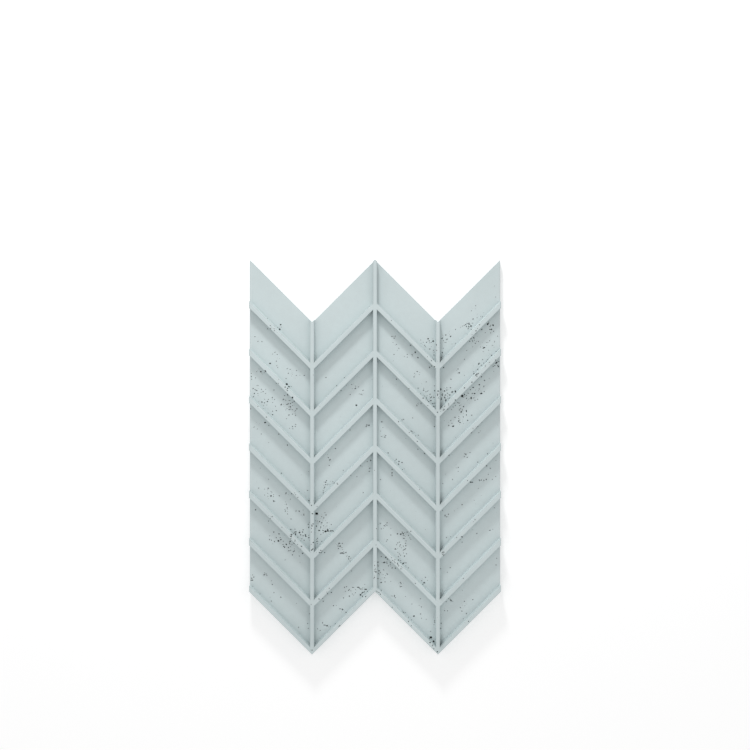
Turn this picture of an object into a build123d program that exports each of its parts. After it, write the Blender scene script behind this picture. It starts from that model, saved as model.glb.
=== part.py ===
"""A cast concrete wall panel with a raised herringbone relief, lying on its back.

The front is four columns of boards that run up and down at 45 degrees, so that the top and bottom
edges are zigzags which nest into the next panel. Each board is a flat field with a raised rib along
its lower side, and an upright rib covers each line where two columns meet. The panel ends a little
above the last rib's lower edge, and starts as much higher, so the rest of that rib is part of the
first fields of the next panel. The whole panel is one casting. The origin is at the middle of its
flat back, +Y points to the top of the pattern, and +Z points out of the wall.
"""

from build123d import *
from math import cos, radians, tan
import os

# Driving dimensions, in millimetres and degrees
column_count = 4
column_width = 150.0
row_count = 7
board_width = 80.0  # square across one board, from the lower edge of one rib to the next
board_angle = 45.0  # between the boards and the horizontal

slab_thickness = 15.0  # from the back to the fields
rib_height = 15.0  # from the fields to the rib tops
board_rib_width = 11.0  # square across the rib's top
upright_rib_width = 9.5  # across the rib's top
joint_step = 2.0  # square across a board: how much of the last rib lies on the next panel
draft_angle = 4.0  # of each rib flank, so that the casting leaves its mould

arris = 0.8  # the small bevel that eases every front edge
run_out = 20.0  # how far a pocket's cutter passes an open edge of the panel

# Worked out from those
panel_width = column_count * column_width
column_rise = column_width * tan(radians(board_angle))
row_pitch = board_width / cos(radians(board_angle))
board_rib_drop = board_rib_width / cos(radians(board_angle))  # the same rib, measured upright
joint_drop = joint_step / cos(radians(board_angle))  # the same step, measured upright
panel_height = row_count * row_pitch + column_rise
panel_thickness = slab_thickness + rib_height

left_edge = -panel_width / 2
top_peak = panel_height / 2


def column_side(column):
    """The x of a column's left side, counted from 0. column_count gives the panel's right edge."""
    return left_edge + column * column_width


def top_height(x):
    """The y of the zigzag top edge at x: peaks at even column sides, valleys at odd ones."""
    across = (x - left_edge) % (2 * column_width)
    from_peak = min(across, 2 * column_width - across)
    return top_peak - from_peak * tan(radians(board_angle))


def is_open_edge(edge):
    """True for an edge of a field that lies on the panel's sides or on its zigzag top."""
    middle = edge.center()
    at_side = abs(abs(middle.X) - panel_width / 2) < arris
    at_top = abs(middle.Y - top_height(middle.X)) < arris
    return at_side or at_top


def board_line(x, column, drop):
    """A point on a line along a column's boards, drop below the top edge. x may pass the column."""
    downhill = -1 if column % 2 == 0 else 1
    start = column_side(column)
    y = top_height(start) + downhill * (x - start) * tan(radians(board_angle)) - drop
    return (x, y)


def field_pocket(column, row):
    """The cutter that sinks one field: a drafted pocket between two board ribs and two uprights.

    It runs out past the panel where the field reaches an open edge.
    """
    left = column_side(column) + upright_rib_width / 2
    right = column_side(column + 1) - upright_rib_width / 2
    if column == 0:
        left = left_edge - run_out
    if column == column_count - 1:
        right = -left_edge + run_out
    upper_drop = row * row_pitch + joint_drop if row > 0 else -run_out
    lower_drop = (row + 1) * row_pitch + joint_drop - board_rib_drop

    with BuildPart() as pocket:
        with BuildSketch(Plane.XY.offset(panel_thickness)):
            with BuildLine():
                Polyline(
                    board_line(left, column, lower_drop),
                    board_line(right, column, lower_drop),
                    board_line(right, column, upper_drop),
                    board_line(left, column, upper_drop),
                    close=True,
                )
            make_face()
        extrude(amount=-rib_height, taper=draft_angle)
    return pocket.part


pockets = [field_pocket(column, row) for column in range(column_count) for row in range(row_count)]

with BuildPart() as herringbone_panel:
    # The blank: the zigzag outline at the full thickness
    with BuildSketch():
        with BuildLine():
            sides = [column_side(column) for column in range(column_count + 1)]
            top_edge = [(x, top_height(x)) for x in sides]
            bottom_edge = [(x, top_height(x) - row_count * row_pitch) for x in reversed(sides)]
            Polyline(*top_edge, *bottom_edge, close=True)
        make_face()
    extrude(amount=panel_thickness)

    # The fields sunk between the ribs
    for pocket in pockets:
        add(pocket, mode=Mode.SUBTRACT)

    # Eased arrises along the rib tops and along the open edges of the fields
    fields, rib_top = herringbone_panel.faces().filter_by(Axis.Z).group_by(Axis.Z)[1:]
    open_edges = fields.edges().filter_by(is_open_edge)
    chamfer(rib_top.edges() + open_edges, length=arris)

herringbone_panel.part.label = "herringbone_panel"

os.makedirs("parts", exist_ok=True)
export_step(herringbone_panel.part, "parts/herringbone_panel.step")
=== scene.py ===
"""A cast concrete herringbone wall panel lying on its back, seen from straight above.

The CAD node gives the shape. Here its mesh is copied, the air pores of the casting are cut into the
copy, and the copy gets the concrete's colour, grain and stains. Units are metres unless a name says
otherwise. +Y is the top of the pattern and +Z the front of the panel.
"""

import itertools
import math
import random

import bmesh
import bpy
from mathutils import Matrix, Vector, noise
from mathutils.bvhtree import BVHTree


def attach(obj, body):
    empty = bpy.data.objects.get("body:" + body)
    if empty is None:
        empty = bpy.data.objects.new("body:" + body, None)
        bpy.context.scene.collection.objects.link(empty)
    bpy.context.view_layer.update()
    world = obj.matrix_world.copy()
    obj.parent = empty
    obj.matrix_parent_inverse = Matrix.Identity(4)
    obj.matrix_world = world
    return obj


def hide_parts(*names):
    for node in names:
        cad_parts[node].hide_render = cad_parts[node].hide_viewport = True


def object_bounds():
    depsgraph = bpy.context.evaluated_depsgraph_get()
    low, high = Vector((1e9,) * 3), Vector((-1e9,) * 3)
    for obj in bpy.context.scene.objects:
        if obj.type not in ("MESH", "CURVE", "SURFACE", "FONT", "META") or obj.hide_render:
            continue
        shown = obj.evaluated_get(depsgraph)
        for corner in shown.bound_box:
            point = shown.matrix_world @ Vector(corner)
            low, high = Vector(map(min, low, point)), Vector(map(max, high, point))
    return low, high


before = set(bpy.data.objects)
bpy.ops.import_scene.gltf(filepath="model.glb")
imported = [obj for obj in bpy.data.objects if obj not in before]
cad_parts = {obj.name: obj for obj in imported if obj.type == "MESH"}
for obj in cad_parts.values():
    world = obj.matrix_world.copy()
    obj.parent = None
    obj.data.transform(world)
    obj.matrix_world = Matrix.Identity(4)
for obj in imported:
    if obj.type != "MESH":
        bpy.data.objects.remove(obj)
cad_low, cad_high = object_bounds()
scene = bpy.context.scene

NODE = "herringbone_panel"
MM = 0.001
SLAB = 0.015  # from the back to the fields
RIB = cad_high.z - SLAB  # from the fields to the rib tops

# The picture is 750 pixels square. Places of pores are written in its pixels, at the fields' depth.
PICTURE = 750
PIXEL = 2.3976 * MM
CENTRE_Y = 0.1952  # the panel's y at the picture's middle
RIB_GROWTH = 0.0066  # how much larger the picture shows the rib tops than the fields, as a share
CAMERA_DISTANCE = RIB / RIB_GROWTH  # from the fields
EYE = Vector((0, CENTRE_Y, SLAB + CAMERA_DISTANCE))


# Node helpers


def linear(r, g, b):
    """A colour written as 0 to 255 values of a screen, as the linear values that shaders take."""
    values = []
    for c in (r, g, b):
        c = c / 255
        values.append(c / 12.92 if c <= 0.04045 else ((c + 0.055) / 1.055) ** 2.4)
    return (*values, 1.0)


class Tree:
    """A short way to write a node tree: each call makes a node and wires or sets its inputs."""

    def __init__(self, owner):
        owner.use_nodes = True
        self.nodes = owner.node_tree.nodes
        self.links = owner.node_tree.links

    def put(self, socket, value):
        """Wires another node's output to the socket, or sets the socket to a plain value."""
        if isinstance(value, bpy.types.NodeSocket):
            self.links.new(value, socket)
        else:
            socket.default_value = value

    def node(self, kind, inputs=None, **settings):
        made = self.nodes.new(kind)
        for key, value in settings.items():
            setattr(made, key, value)
        for key, value in (inputs or {}).items():
            self.put(made.inputs[key], value)
        return made

    def math(self, operation, a, b=0.0, c=0.0):
        return self.node("ShaderNodeMath", {0: a, 1: b, 2: c}, operation=operation).outputs[0]

    def vector(self, operation, a, b=(0, 0, 0)):
        return self.node("ShaderNodeVectorMath", {0: a, 1: b}, operation=operation).outputs

    def split(self, vector):
        """A vector's x, y and z."""
        return self.node("ShaderNodeSeparateXYZ", {0: vector}).outputs

    def noise(self, where, scale, detail, roughness):
        inputs = {"Vector": where, "Scale": scale, "Detail": detail, "Roughness": roughness}
        return self.node("ShaderNodeTexNoise", inputs).outputs["Fac"]

    def remap(self, value, low, high, to_low, to_high, smooth=True):
        """Carries a value between low and high over to between to_low and to_high."""
        inputs = {
            "Value": value,
            "From Min": low,
            "From Max": high,
            "To Min": to_low,
            "To Max": to_high,
        }
        kind = "SMOOTHSTEP" if smooth else "LINEAR"
        return self.node("ShaderNodeMapRange", inputs, interpolation_type=kind).outputs["Result"]

    def mix(self, factor, a, b, kind="MIX"):
        made = self.node("ShaderNodeMix", data_type="RGBA", blend_type=kind)
        self.put(made.inputs["Factor"], factor)
        self.put(made.inputs[6], a)
        self.put(made.inputs[7], b)
        return made.outputs[2]


# The pores

# Pores that stand out, each at a place in the picture: (x, y, radius in mm) for a round one, and
# for a long one also its stretch, which is its length for each width, and its turn in degrees
SPOTS = [
    (270.1, 363.4, 2.2, 1.5, 0),
    (286.7, 384.2, 2.7, 1.2, 20),
    (287.6, 387.4, 1.7, 1.3, -40),
    (289.6, 386.8, 1.4, 1.1, 0),
    (292.4, 397.5, 2.1, 1.2, 60),
    (265.1, 422.5, 2.1, 1.3, -20),
    (279.7, 329.3, 2.1, 1.1, 60),
    (280.7, 324.7, 1.9, 1.4, -10),
    (272.6, 414.6, 1.5, 1.2, 0),
    (295.6, 415.2, 1.3),
    (340.8, 389.9, 1.6, 1.4, 20),
    (381.8, 421.8, 1.6),
    (415.3, 352.3, 2.1),
    (417.9, 357.6, 1.9, 1.3, 60),
    (434.6, 367.2, 1.6),
    (429.8, 349.0, 1.5),
    (450.6, 336.3, 1.7, 1.1, 0),
    (475.7, 305.6, 1.2, 1.4, 70),
    (487.6, 324.1, 2.3),
    (493.2, 325.2, 2.0, 1.4, 70),
    (490.0, 329.3, 1.5, 1.2, 0),
    (493.6, 331.2, 1.4),
    (473.9, 337.8, 1.7, 1.8, 55),
    (472.6, 341.0, 1.5, 1.3, 0),
    (484.2, 347.6, 2.2, 1.6, 0),
    (478.8, 363.8, 2.1, 2.0, -55),
    (496.4, 362.7, 2.5, 1.8, -45),
    (498.4, 366.5, 2.0, 1.8, -60),
    (493.2, 366.3, 1.5),
    (481.4, 376.8, 1.6, 1.3, 40),
    (479.3, 384.6, 1.8),
    (462.2, 396.0, 3.4, 1.1, 20),
    (471.2, 398.0, 2.4, 1.5, 80),
    (474.6, 393.5, 1.9, 1.4, 0),
    (481.3, 393.5, 2.2, 1.6, 0),
    (466.6, 398.4, 1.4, 1.6, 60),
    (483.9, 386.2, 1.4, 1.2, 0),
    (463.6, 406.6, 1.7),
    (447.5, 408.9, 1.7, 1.6, 20),
    (438.1, 391.1, 2.1, 1.3, 0),
    (444.6, 391.0, 1.9, 1.3, 0),
    (455.3, 391.4, 2.2, 1.8, 80),
    (459.6, 409.9, 1.5, 1.4, -30),
    (316.8, 513.6, 3.4, 1.2, 0),
    (312.4, 513.7, 1.6, 1.6, 10),
    (271.0, 496.0, 2.2, 1.1, -20),
    (273.7, 501.1, 1.9, 1.2, 50),
    (299.2, 511.2, 1.7, 1.3, 10),
    (303.8, 515.0, 1.4, 1.3, 30),
    (321.8, 522.7, 1.7),
    (316.4, 526.1, 1.7, 1.2, 50),
    (319.2, 530.4, 2.2, 1.6, 0),
    (326.4, 531.3, 1.7, 2.2, 0),
    (278.4, 540.9, 2.2, 1.2, 30),
    (291.4, 534.6, 2.0, 1.8, 30),
    (295.6, 534.0, 1.9, 1.6, -40),
    (300.6, 534.9, 1.5, 1.4, 0),
    (286.3, 544.4, 1.9, 1.4, 30),
    (302.6, 553.3, 1.7, 2.2, -30),
    (292.4, 554.9, 1.5),
    (345.9, 552.6, 1.7),
    (339.4, 543.2, 1.7, 1.8, 10),
    (348.6, 558.9, 1.6, 1.6, 60),
    (403.8, 538.4, 1.7, 3.0, 5),
    (400.6, 534.5, 1.6, 1.4, 0),
    (384.3, 562.4, 2.1),
    (377.9, 562.2, 1.9),
    (387.4, 559.0, 1.6),
    (395.4, 568.2, 1.6, 1.4, -40),
    (387.2, 574.0, 1.7, 2.4, 50),
    (403.2, 563.4, 2.2, 1.8, -35),
    (398.3, 560.2, 1.9, 1.6, -40),
    (424.0, 582.6, 1.7, 1.8, -50),
    (362.3, 592.8, 2.0, 2.2, -55),
    (365.6, 596.6, 1.5, 1.2, 0),
    (342.5, 609.6, 2.0, 1.1, 0),
    (414.0, 616.2, 2.1, 1.3, 0),
    (431.0, 637.4, 3.0, 1.2, 0),
    (433.6, 641.4, 2.2, 1.3, 60),
    (430.0, 642.6, 1.7, 1.2, 0),
    (319.0, 599.0, 1.5, 1.7, 25),
    (323.2, 601.2, 1.4, 1.2, 0),
    (280.8, 597.2, 1.5),
    (251.2, 580.2, 1.6, 1.3, 0),
    (264.2, 574.8, 1.7, 1.3, 0),
    (451.0, 600.5, 1.7, 1.2, 0),
    (470.8, 482.2, 2.0, 1.6, 0),
    (486.6, 465.9, 1.7),
    (489.8, 530.3, 1.5, 2.2, 0),
    (476.9, 533.5, 1.4),
    (450.2, 567.6, 1.3, 1.2, 0),
    (496.0, 565.0, 1.2),
    (475.0, 519.7, 1.4),
    (270.3, 325.6, 1.2, 1.2, 0),
    (277.5, 327.5, 0.9),
    (274.3, 328.6, 0.9),
    (267.5, 328.8, 1.3, 1.4, 90),
    (270.4, 329.2, 1.3),
    (254.9, 336.7, 1.2),
    (257.9, 341.4, 1.2, 1.2, 0),
    (261.9, 341.4, 1.1, 1.4, 0),
    (274.8, 352.4, 1.1, 1.6, 0),
    (277.2, 354.4, 1.2, 1.4, 0),
    (276.3, 361.1, 1.4),
    (276.8, 365.7, 1.1),
    (277.7, 367.5, 1.1),
    (290.1, 369.4, 1.2),
    (260.8, 371.7, 1.9, 1.2, 0),
    (265.4, 371.7, 2.1, 1.8, 45),
    (296.5, 370.5, 1.1),
    (296.3, 375.4, 1.2),
    (304.2, 375.4, 1.4, 1.2, 0),
    (286.0, 378.5, 1.2),
    (326.0, 377.5, 1.3),
    (344.3, 377.7, 1.3),
    (251.3, 373.3, 1.2),
    (251.3, 376.3, 1.2),
    (251.5, 379.2, 1.2),
    (255.5, 377.9, 1.1),
    (471.4, 310.7, 0.9),
    (473.1, 319.0, 1.6, 1.5, -20),
    (477.1, 317.7, 1.1),
    (480.7, 316.4, 0.9),
    (467.9, 323.6, 1.5),
    (465.7, 324.7, 1.4),
    (466.5, 326.7, 1.4),
    (468.7, 326.9, 1.5),
    (471.0, 326.0, 2.0),
    (479.6, 324.6, 1.2),
    (460.7, 327.3, 0.9),
    (455.5, 329.4, 1.1),
    (476.0, 330.8, 1.6, 1.6, -50),
    (477.5, 328.3, 1.1),
    (481.8, 329.4, 1.7, 1.3, -20),
    (485.3, 332.7, 1.1),
    (497.7, 336.1, 1.2),
    (445.8, 335.0, 1.6),
    (442.0, 338.5, 1.5, 2.0, 0),
    (471.0, 338.8, 1.5),
    (469.8, 341.3, 1.3),
    (475.4, 343.3, 1.4, 1.2, 0),
    (489.7, 340.8, 1.3, 1.2, 90),
    (494.6, 341.3, 0.9),
    (486.7, 342.5, 1.1, 2.0, 0),
    (445.8, 342.3, 1.1),
    (455.5, 343.3, 1.2),
    (428.1, 338.8, 1.9, 1.2, -50),
    (429.3, 340.8, 1.4),
    (426.5, 342.3, 1.2),
    (431.5, 342.3, 1.1),
    (423.3, 342.3, 0.9),
    (421.0, 343.3, 0.9),
    (424.6, 345.4, 1.1),
    (433.5, 350.4, 1.2),
    (436.7, 350.4, 1.1),
    (434.0, 355.0, 1.6),
    (427.5, 356.7, 0.9),
    (431.5, 360.6, 1.3),
    (442.2, 352.5, 1.5, 1.5, 90),
    (443.2, 348.3, 1.2),
    (441.2, 357.5, 1.6, 2.0, 90),
    (410.5, 345.3, 1.5),
    (407.3, 354.4, 1.2),
    (407.3, 357.1, 1.1),
    (404.6, 356.7, 0.9),
    (394.0, 354.4, 1.2, 1.5, 0),
    (398.8, 348.4, 1.1, 1.2, 0),
    (396.5, 344.4, 1.2),
    (393.0, 342.5, 0.9),
    (391.8, 336.5, 1.4, 2.2, 0),
    (395.2, 336.8, 0.9),
    (391.5, 320.4, 1.1),
    (429.5, 367.4, 1.6),
    (431.5, 365.4, 1.5, 1.3, -45),
    (443.5, 367.4, 1.7, 1.2, 0),
    (464.4, 359.3, 1.3, 1.5, 90),
    (466.7, 350.4, 1.1, 1.5, 0),
    (483.2, 351.4, 0.9),
    (491.4, 355.4, 1.4),
    (482.5, 359.6, 1.1),
    (487.5, 359.6, 1.1),
    (481.4, 365.3, 1.4),
    (495.5, 360.6, 1.5),
    (498.8, 361.5, 1.4),
    (458.1, 369.0, 1.4),
    (459.2, 372.5, 1.4, 1.8, -20),
    (473.9, 373.6, 1.6, 1.3, -20),
    (478.5, 373.5, 1.4),
    (464.4, 375.4, 0.9),
    (417.1, 371.5, 1.4, 1.5, 0),
    (419.2, 374.6, 0.9),
    (451.0, 379.2, 1.4, 1.2, 0),
    (396.5, 379.2, 1.5),
    (489.2, 378.3, 0.9),
    (493.8, 371.3, 0.9),
    (285.2, 387.1, 1.7, 1.2, -40),
    (287.4, 390.6, 1.5),
    (291.3, 386.4, 0.9),
    (287.5, 394.6, 1.5),
    (284.6, 395.6, 1.3),
    (283.3, 399.3, 1.5),
    (285.8, 400.4, 1.1),
    (281.2, 404.6, 1.9, 1.8, -60),
    (290.5, 403.6, 1.4),
    (287.3, 404.4, 1.2),
    (290.5, 406.8, 1.7, 1.4, 90),
    (292.5, 405.6, 0.9),
    (289.2, 409.6, 1.5, 1.8, 0),
    (292.5, 409.6, 1.1),
    (285.7, 410.0, 0.9),
    (295.6, 410.4, 1.2),
    (294.2, 401.3, 1.4, 1.3, 50),
    (295.7, 424.4, 1.2, 1.8, 0),
    (292.5, 426.5, 1.5),
    (289.4, 428.3, 0.9),
    (273.9, 390.0, 1.3),
    (253.1, 388.5, 1.5, 1.5, 0),
    (254.3, 393.5, 1.6),
    (263.1, 391.7, 1.3, 1.4, -30),
    (261.5, 389.3, 1.2),
    (265.7, 389.3, 0.9),
    (265.6, 393.5, 1.2),
    (257.3, 390.6, 0.9),
    (257.9, 393.5, 0.9),
    (272.3, 397.4, 1.3, 1.4, 0),
    (268.4, 399.4, 1.1),
    (274.6, 399.4, 1.1),
    (264.6, 399.4, 0.9),
    (261.9, 402.1, 1.9, 1.1, -20),
    (264.6, 402.9, 1.4),
    (267.4, 401.5, 1.6),
    (272.7, 402.5, 0.9),
    (275.4, 406.3, 1.1, 1.6, 90),
    (257.9, 406.4, 1.1),
    (263.1, 408.5, 0.9),
    (272.6, 411.3, 1.4, 1.3, 90),
    (276.3, 410.6, 1.5, 1.4, 0),
    (266.3, 417.1, 1.4, 1.2, -30),
    (268.8, 425.3, 1.4),
    (253.9, 427.3, 1.1, 1.5, 0),
    (257.5, 429.0, 1.1),
    (261.3, 434.0, 1.1),
    (278.7, 434.2, 1.4),
    (276.3, 383.3, 1.1),
    (336.7, 385.8, 1.3),
    (351.7, 384.3, 1.2, 1.5, 0),
    (355.5, 388.3, 1.4),
    (350.2, 394.6, 1.2),
    (363.0, 390.3, 1.3, 1.2, 0),
    (369.0, 425.3, 1.9, 1.3, 0),
    (366.3, 426.4, 1.3, 1.2, -20),
    (335.4, 448.5, 1.4, 1.4, 0),
    (350.0, 430.0, 1.1),
    (250.6, 408.8, 1.2, 1.5, 90),
    (382.9, 427.5, 0.9),
    (384.9, 437.1, 1.6),
    (385.8, 435.4, 1.2),
    (381.3, 436.3, 1.1),
    (398.6, 421.7, 1.3),
    (403.2, 419.2, 1.3),
    (417.3, 441.4, 1.3, 1.2, 0),
    (409.2, 432.5, 1.1),
    (424.7, 453.5, 1.6, 1.2, 20),
    (417.9, 449.2, 1.4),
    (388.2, 453.0, 1.4, 1.2, 20),
    (434.0, 452.9, 1.2),
    (465.8, 454.1, 1.7, 1.3, 20),
    (487.7, 453.8, 1.4),
    (409.0, 388.5, 1.2),
    (281.4, 473.3, 1.4),
    (268.2, 488.3, 1.6, 1.2, 20),
    (271.0, 491.4, 1.1),
    (264.6, 489.2, 0.9),
    (264.6, 495.0, 1.1),
    (273.6, 494.6, 0.9),
    (286.0, 493.2, 1.9, 1.5, -60),
    (291.7, 493.8, 1.5, 1.2, 40),
    (294.6, 492.9, 0.9),
    (290.3, 499.2, 1.2, 1.5, 0),
    (297.8, 497.4, 1.2, 1.4, 0),
    (299.2, 491.7, 1.1),
    (307.5, 490.4, 1.3, 2.0, 0),
    (309.0, 500.5, 1.5, 1.3, 0),
    (311.5, 505.4, 1.4),
    (317.1, 506.4, 1.1),
    (286.4, 504.4, 1.1),
    (285.3, 511.1, 1.5, 1.2, 90),
    (287.5, 514.0, 1.2),
    (287.5, 509.0, 0.9),
    (291.0, 519.0, 1.4),
    (272.1, 516.7, 1.5, 1.4, -20),
    (281.9, 527.2, 1.1),
    (308.2, 524.4, 1.5),
    (308.6, 527.5, 1.6),
    (309.2, 522.5, 0.9),
    (319.6, 521.7, 1.6),
    (320.8, 527.1, 1.5),
    (326.0, 515.0, 1.5, 1.4, 0),
    (325.0, 512.7, 1.1),
    (321.5, 516.7, 1.1),
    (327.1, 522.8, 1.2),
    (325.6, 520.7, 0.8),
    (331.4, 524.5, 1.2),
    (325.6, 482.3, 1.6),
    (326.5, 480.7, 1.4),
    (324.6, 487.3, 1.5),
    (323.3, 492.9, 1.3),
    (323.3, 490.8, 0.9),
    (327.9, 484.3, 1.2),
    (334.2, 483.1, 1.4, 1.6, -30),
    (337.8, 484.3, 1.1, 1.5, 0),
    (330.2, 481.3, 0.8),
    (328.2, 457.5, 1.2),
    (330.4, 459.3, 1.1),
    (329.2, 465.4, 1.1, 1.3, 0),
    (343.3, 470.3, 1.1, 1.8, 0),
    (350.7, 475.4, 1.1),
    (356.9, 476.7, 1.1),
    (360.7, 465.8, 1.3),
    (367.3, 461.5, 1.2),
    (370.7, 460.4, 1.7),
    (369.2, 471.3, 1.4, 1.5, 0),
    (363.2, 492.7, 1.2),
    (308.8, 471.7, 0.9, 1.5, 90),
    (374.6, 470.3, 0.9),
    (448.8, 455.4, 1.6, 1.3, 0),
    (467.3, 457.3, 1.4, 1.4, 0),
    (396.3, 459.3, 1.4),
    (394.9, 460.9, 1.1),
    (398.9, 461.4, 1.6),
    (402.0, 462.5, 1.6, 1.5, 0),
    (398.8, 464.6, 1.1),
    (402.5, 469.6, 1.1, 1.4, 0),
    (392.2, 472.8, 1.5),
    (392.1, 475.7, 1.5),
    (380.6, 479.5, 1.3, 1.5, 0),
    (458.3, 467.3, 1.4),
    (458.1, 471.5, 1.1),
    (452.5, 479.4, 1.2),
    (477.7, 462.1, 1.3, 1.2, 90),
    (490.3, 468.3, 1.3),
    (495.7, 476.5, 1.1, 1.2, 0),
    (486.3, 479.4, 1.6),
    (483.8, 480.4, 1.2, 1.8, 0),
    (479.6, 480.6, 1.3),
    (492.3, 479.4, 1.2),
    (467.5, 480.6, 1.2),
    (472.6, 482.3, 1.5),
    (478.3, 488.3, 0.9, 1.8, 0),
    (442.8, 483.6, 1.2),
    (462.1, 504.6, 1.4, 1.3, 0),
    (474.2, 500.3, 0.9, 2.0, 0),
    (448.5, 514.2, 1.4),
    (445.4, 515.8, 1.5, 1.5, 40),
    (446.4, 517.0, 1.1),
    (442.5, 510.4, 1.1),
    (473.6, 521.7, 0.9),
    (380.4, 523.3, 1.4, 2.4, 0),
    (387.1, 522.9, 1.5, 1.5, -30),
    (381.3, 528.9, 1.2),
    (383.5, 528.3, 0.9),
    (492.8, 529.3, 0.9),
    (273.8, 532.1, 1.6, 1.2, 90),
    (279.0, 533.9, 1.6),
    (276.3, 537.7, 1.2),
    (269.6, 539.6, 1.3),
    (271.5, 540.2, 1.2),
    (274.4, 541.4, 1.3),
    (280.6, 539.8, 1.3, 1.6, 90),
    (272.5, 543.8, 0.8),
    (283.2, 541.3, 1.1),
    (283.0, 544.6, 1.2),
    (283.8, 546.5, 1.4),
    (288.5, 547.5, 1.5),
    (288.9, 550.8, 1.5),
    (290.0, 541.4, 1.7, 1.6, 0),
    (294.0, 543.3, 1.4, 1.4, 0),
    (292.1, 544.8, 1.1),
    (293.3, 551.4, 1.3),
    (290.8, 529.4, 1.6, 1.8, 0),
    (295.0, 529.2, 1.1),
    (291.0, 536.3, 1.9, 1.5, -10),
    (293.6, 533.6, 1.4),
    (296.0, 531.8, 1.7, 1.5, 70),
    (302.7, 532.1, 1.5, 1.4, 60),
    (305.8, 536.4, 1.7, 1.4, 0),
    (308.9, 537.7, 1.6),
    (304.2, 540.3, 1.3, 1.5, 0),
    (300.7, 541.3, 1.2),
    (301.5, 546.4, 1.7, 1.1, 0),
    (297.5, 544.6, 1.1),
    (300.8, 549.0, 0.9),
    (311.3, 532.1, 1.1),
    (313.3, 542.5, 1.6, 1.2, 0),
    (314.6, 545.0, 1.6, 1.8, 90),
    (317.1, 541.4, 1.7, 1.7, 0),
    (317.4, 538.4, 1.2),
    (321.8, 541.4, 1.3),
    (320.4, 544.6, 0.8),
    (320.8, 534.3, 1.2, 1.6, 0),
    (328.9, 531.2, 1.5),
    (333.4, 531.3, 1.3),
    (329.8, 528.8, 0.9),
    (323.2, 532.8, 1.2),
    (320.8, 550.4, 1.5, 1.3, 0),
    (324.7, 552.5, 1.4),
    (342.3, 543.4, 1.3),
    (340.2, 546.0, 1.6, 1.4, 0),
    (338.4, 548.5, 1.4),
    (337.9, 546.0, 1.1),
    (342.0, 547.6, 1.1),
    (342.6, 549.6, 0.9),
    (340.4, 553.2, 1.6),
    (349.0, 556.6, 1.4),
    (350.9, 558.2, 1.1),
    (350.2, 561.3, 0.9),
    (266.9, 575.3, 1.4),
    (253.8, 577.1, 1.5, 1.4, -30),
    (252.5, 575.0, 1.1),
    (272.3, 584.4, 1.4, 1.3, 0),
    (271.3, 580.8, 0.9),
    (273.9, 592.7, 1.3),
    (271.3, 601.1, 1.2),
    (270.0, 597.3, 0.8),
    (252.9, 586.3, 1.1),
    (260.0, 594.0, 0.9),
    (329.2, 588.3, 1.2),
    (331.3, 592.5, 1.5),
    (327.5, 593.8, 1.4),
    (322.5, 598.5, 1.1),
    (344.6, 587.3, 1.3),
    (346.5, 586.7, 1.2),
    (348.6, 590.3, 1.3),
    (345.4, 591.3, 0.9),
    (349.4, 596.1, 1.6),
    (352.3, 594.0, 1.1),
    (343.6, 597.9, 1.4),
    (353.6, 587.4, 1.3, 2.0, 0),
    (359.0, 587.5, 1.6, 1.5, 60),
    (360.5, 589.2, 1.2),
    (355.4, 592.7, 1.1),
    (360.4, 594.4, 1.4),
    (362.5, 596.2, 1.5),
    (366.4, 589.3, 1.6),
    (367.5, 591.5, 1.1),
    (364.8, 584.4, 0.9),
    (374.6, 565.4, 1.1),
    (373.3, 575.4, 1.1),
    (374.7, 577.5, 1.1),
    (390.8, 535.0, 1.2),
    (407.1, 532.1, 1.4, 1.2, 0),
    (410.8, 531.3, 1.4, 1.4, 0),
    (408.5, 535.4, 1.4),
    (409.8, 537.9, 1.1),
    (410.8, 539.3, 1.1),
    (387.3, 539.8, 1.4),
    (386.4, 541.3, 1.1),
    (397.8, 542.9, 1.4),
    (396.6, 544.7, 1.1),
    (400.4, 544.8, 1.4, 1.3, -45),
    (405.8, 545.8, 1.5),
    (405.6, 548.7, 1.3),
    (395.2, 549.0, 1.7, 1.3, -60),
    (397.9, 552.5, 1.1),
    (403.3, 550.5, 0.9),
    (400.7, 555.2, 1.2),
    (406.5, 553.8, 1.2),
    (404.5, 556.1, 1.5, 1.3, 90),
    (392.5, 560.5, 1.2),
    (397.6, 563.2, 1.4),
    (395.0, 562.8, 1.2),
    (390.4, 562.5, 1.5),
    (387.0, 563.6, 1.2),
    (378.1, 566.0, 1.3),
    (381.3, 556.5, 1.2),
    (400.8, 560.6, 1.2),
    (406.0, 562.8, 1.3, 1.4, 90),
    (405.8, 565.8, 1.1),
    (408.5, 567.8, 1.2),
    (388.5, 565.9, 1.3, 1.4, 90),
    (392.1, 567.9, 1.4),
    (379.0, 570.8, 1.7, 1.2, 90),
    (375.5, 569.0, 1.3),
    (377.6, 578.5, 1.5),
    (381.5, 582.5, 1.5),
    (385.0, 581.9, 1.4),
    (390.8, 581.4, 0.9),
    (400.4, 582.5, 1.4, 1.8, 0),
    (400.6, 586.7, 1.4),
    (425.4, 577.3, 1.5, 1.2, 0),
    (421.7, 580.7, 1.3),
    (422.8, 584.2, 1.5),
    (427.3, 580.4, 0.9),
    (415.4, 583.5, 1.2),
    (415.0, 577.5, 0.9),
    (381.1, 590.3, 1.5, 1.5, 0),
    (380.3, 594.4, 1.5),
    (377.9, 592.1, 1.2),
    (394.4, 596.1, 1.6, 1.8, 90),
    (420.4, 598.8, 1.2),
    (464.4, 601.3, 1.4, 1.3, 0),
    (440.6, 568.8, 1.2),
    (447.3, 572.3, 1.1),
    (463.3, 578.3, 1.2),
    (496.7, 558.3, 1.1),
    (446.4, 537.5, 1.4),
    (456.7, 537.5, 1.1),
    (461.5, 536.7, 1.4, 1.3, 0),
    (462.1, 542.1, 1.2),
    (460.2, 539.6, 0.9),
    (443.8, 552.1, 1.4),
    (442.7, 554.4, 1.2),
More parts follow.
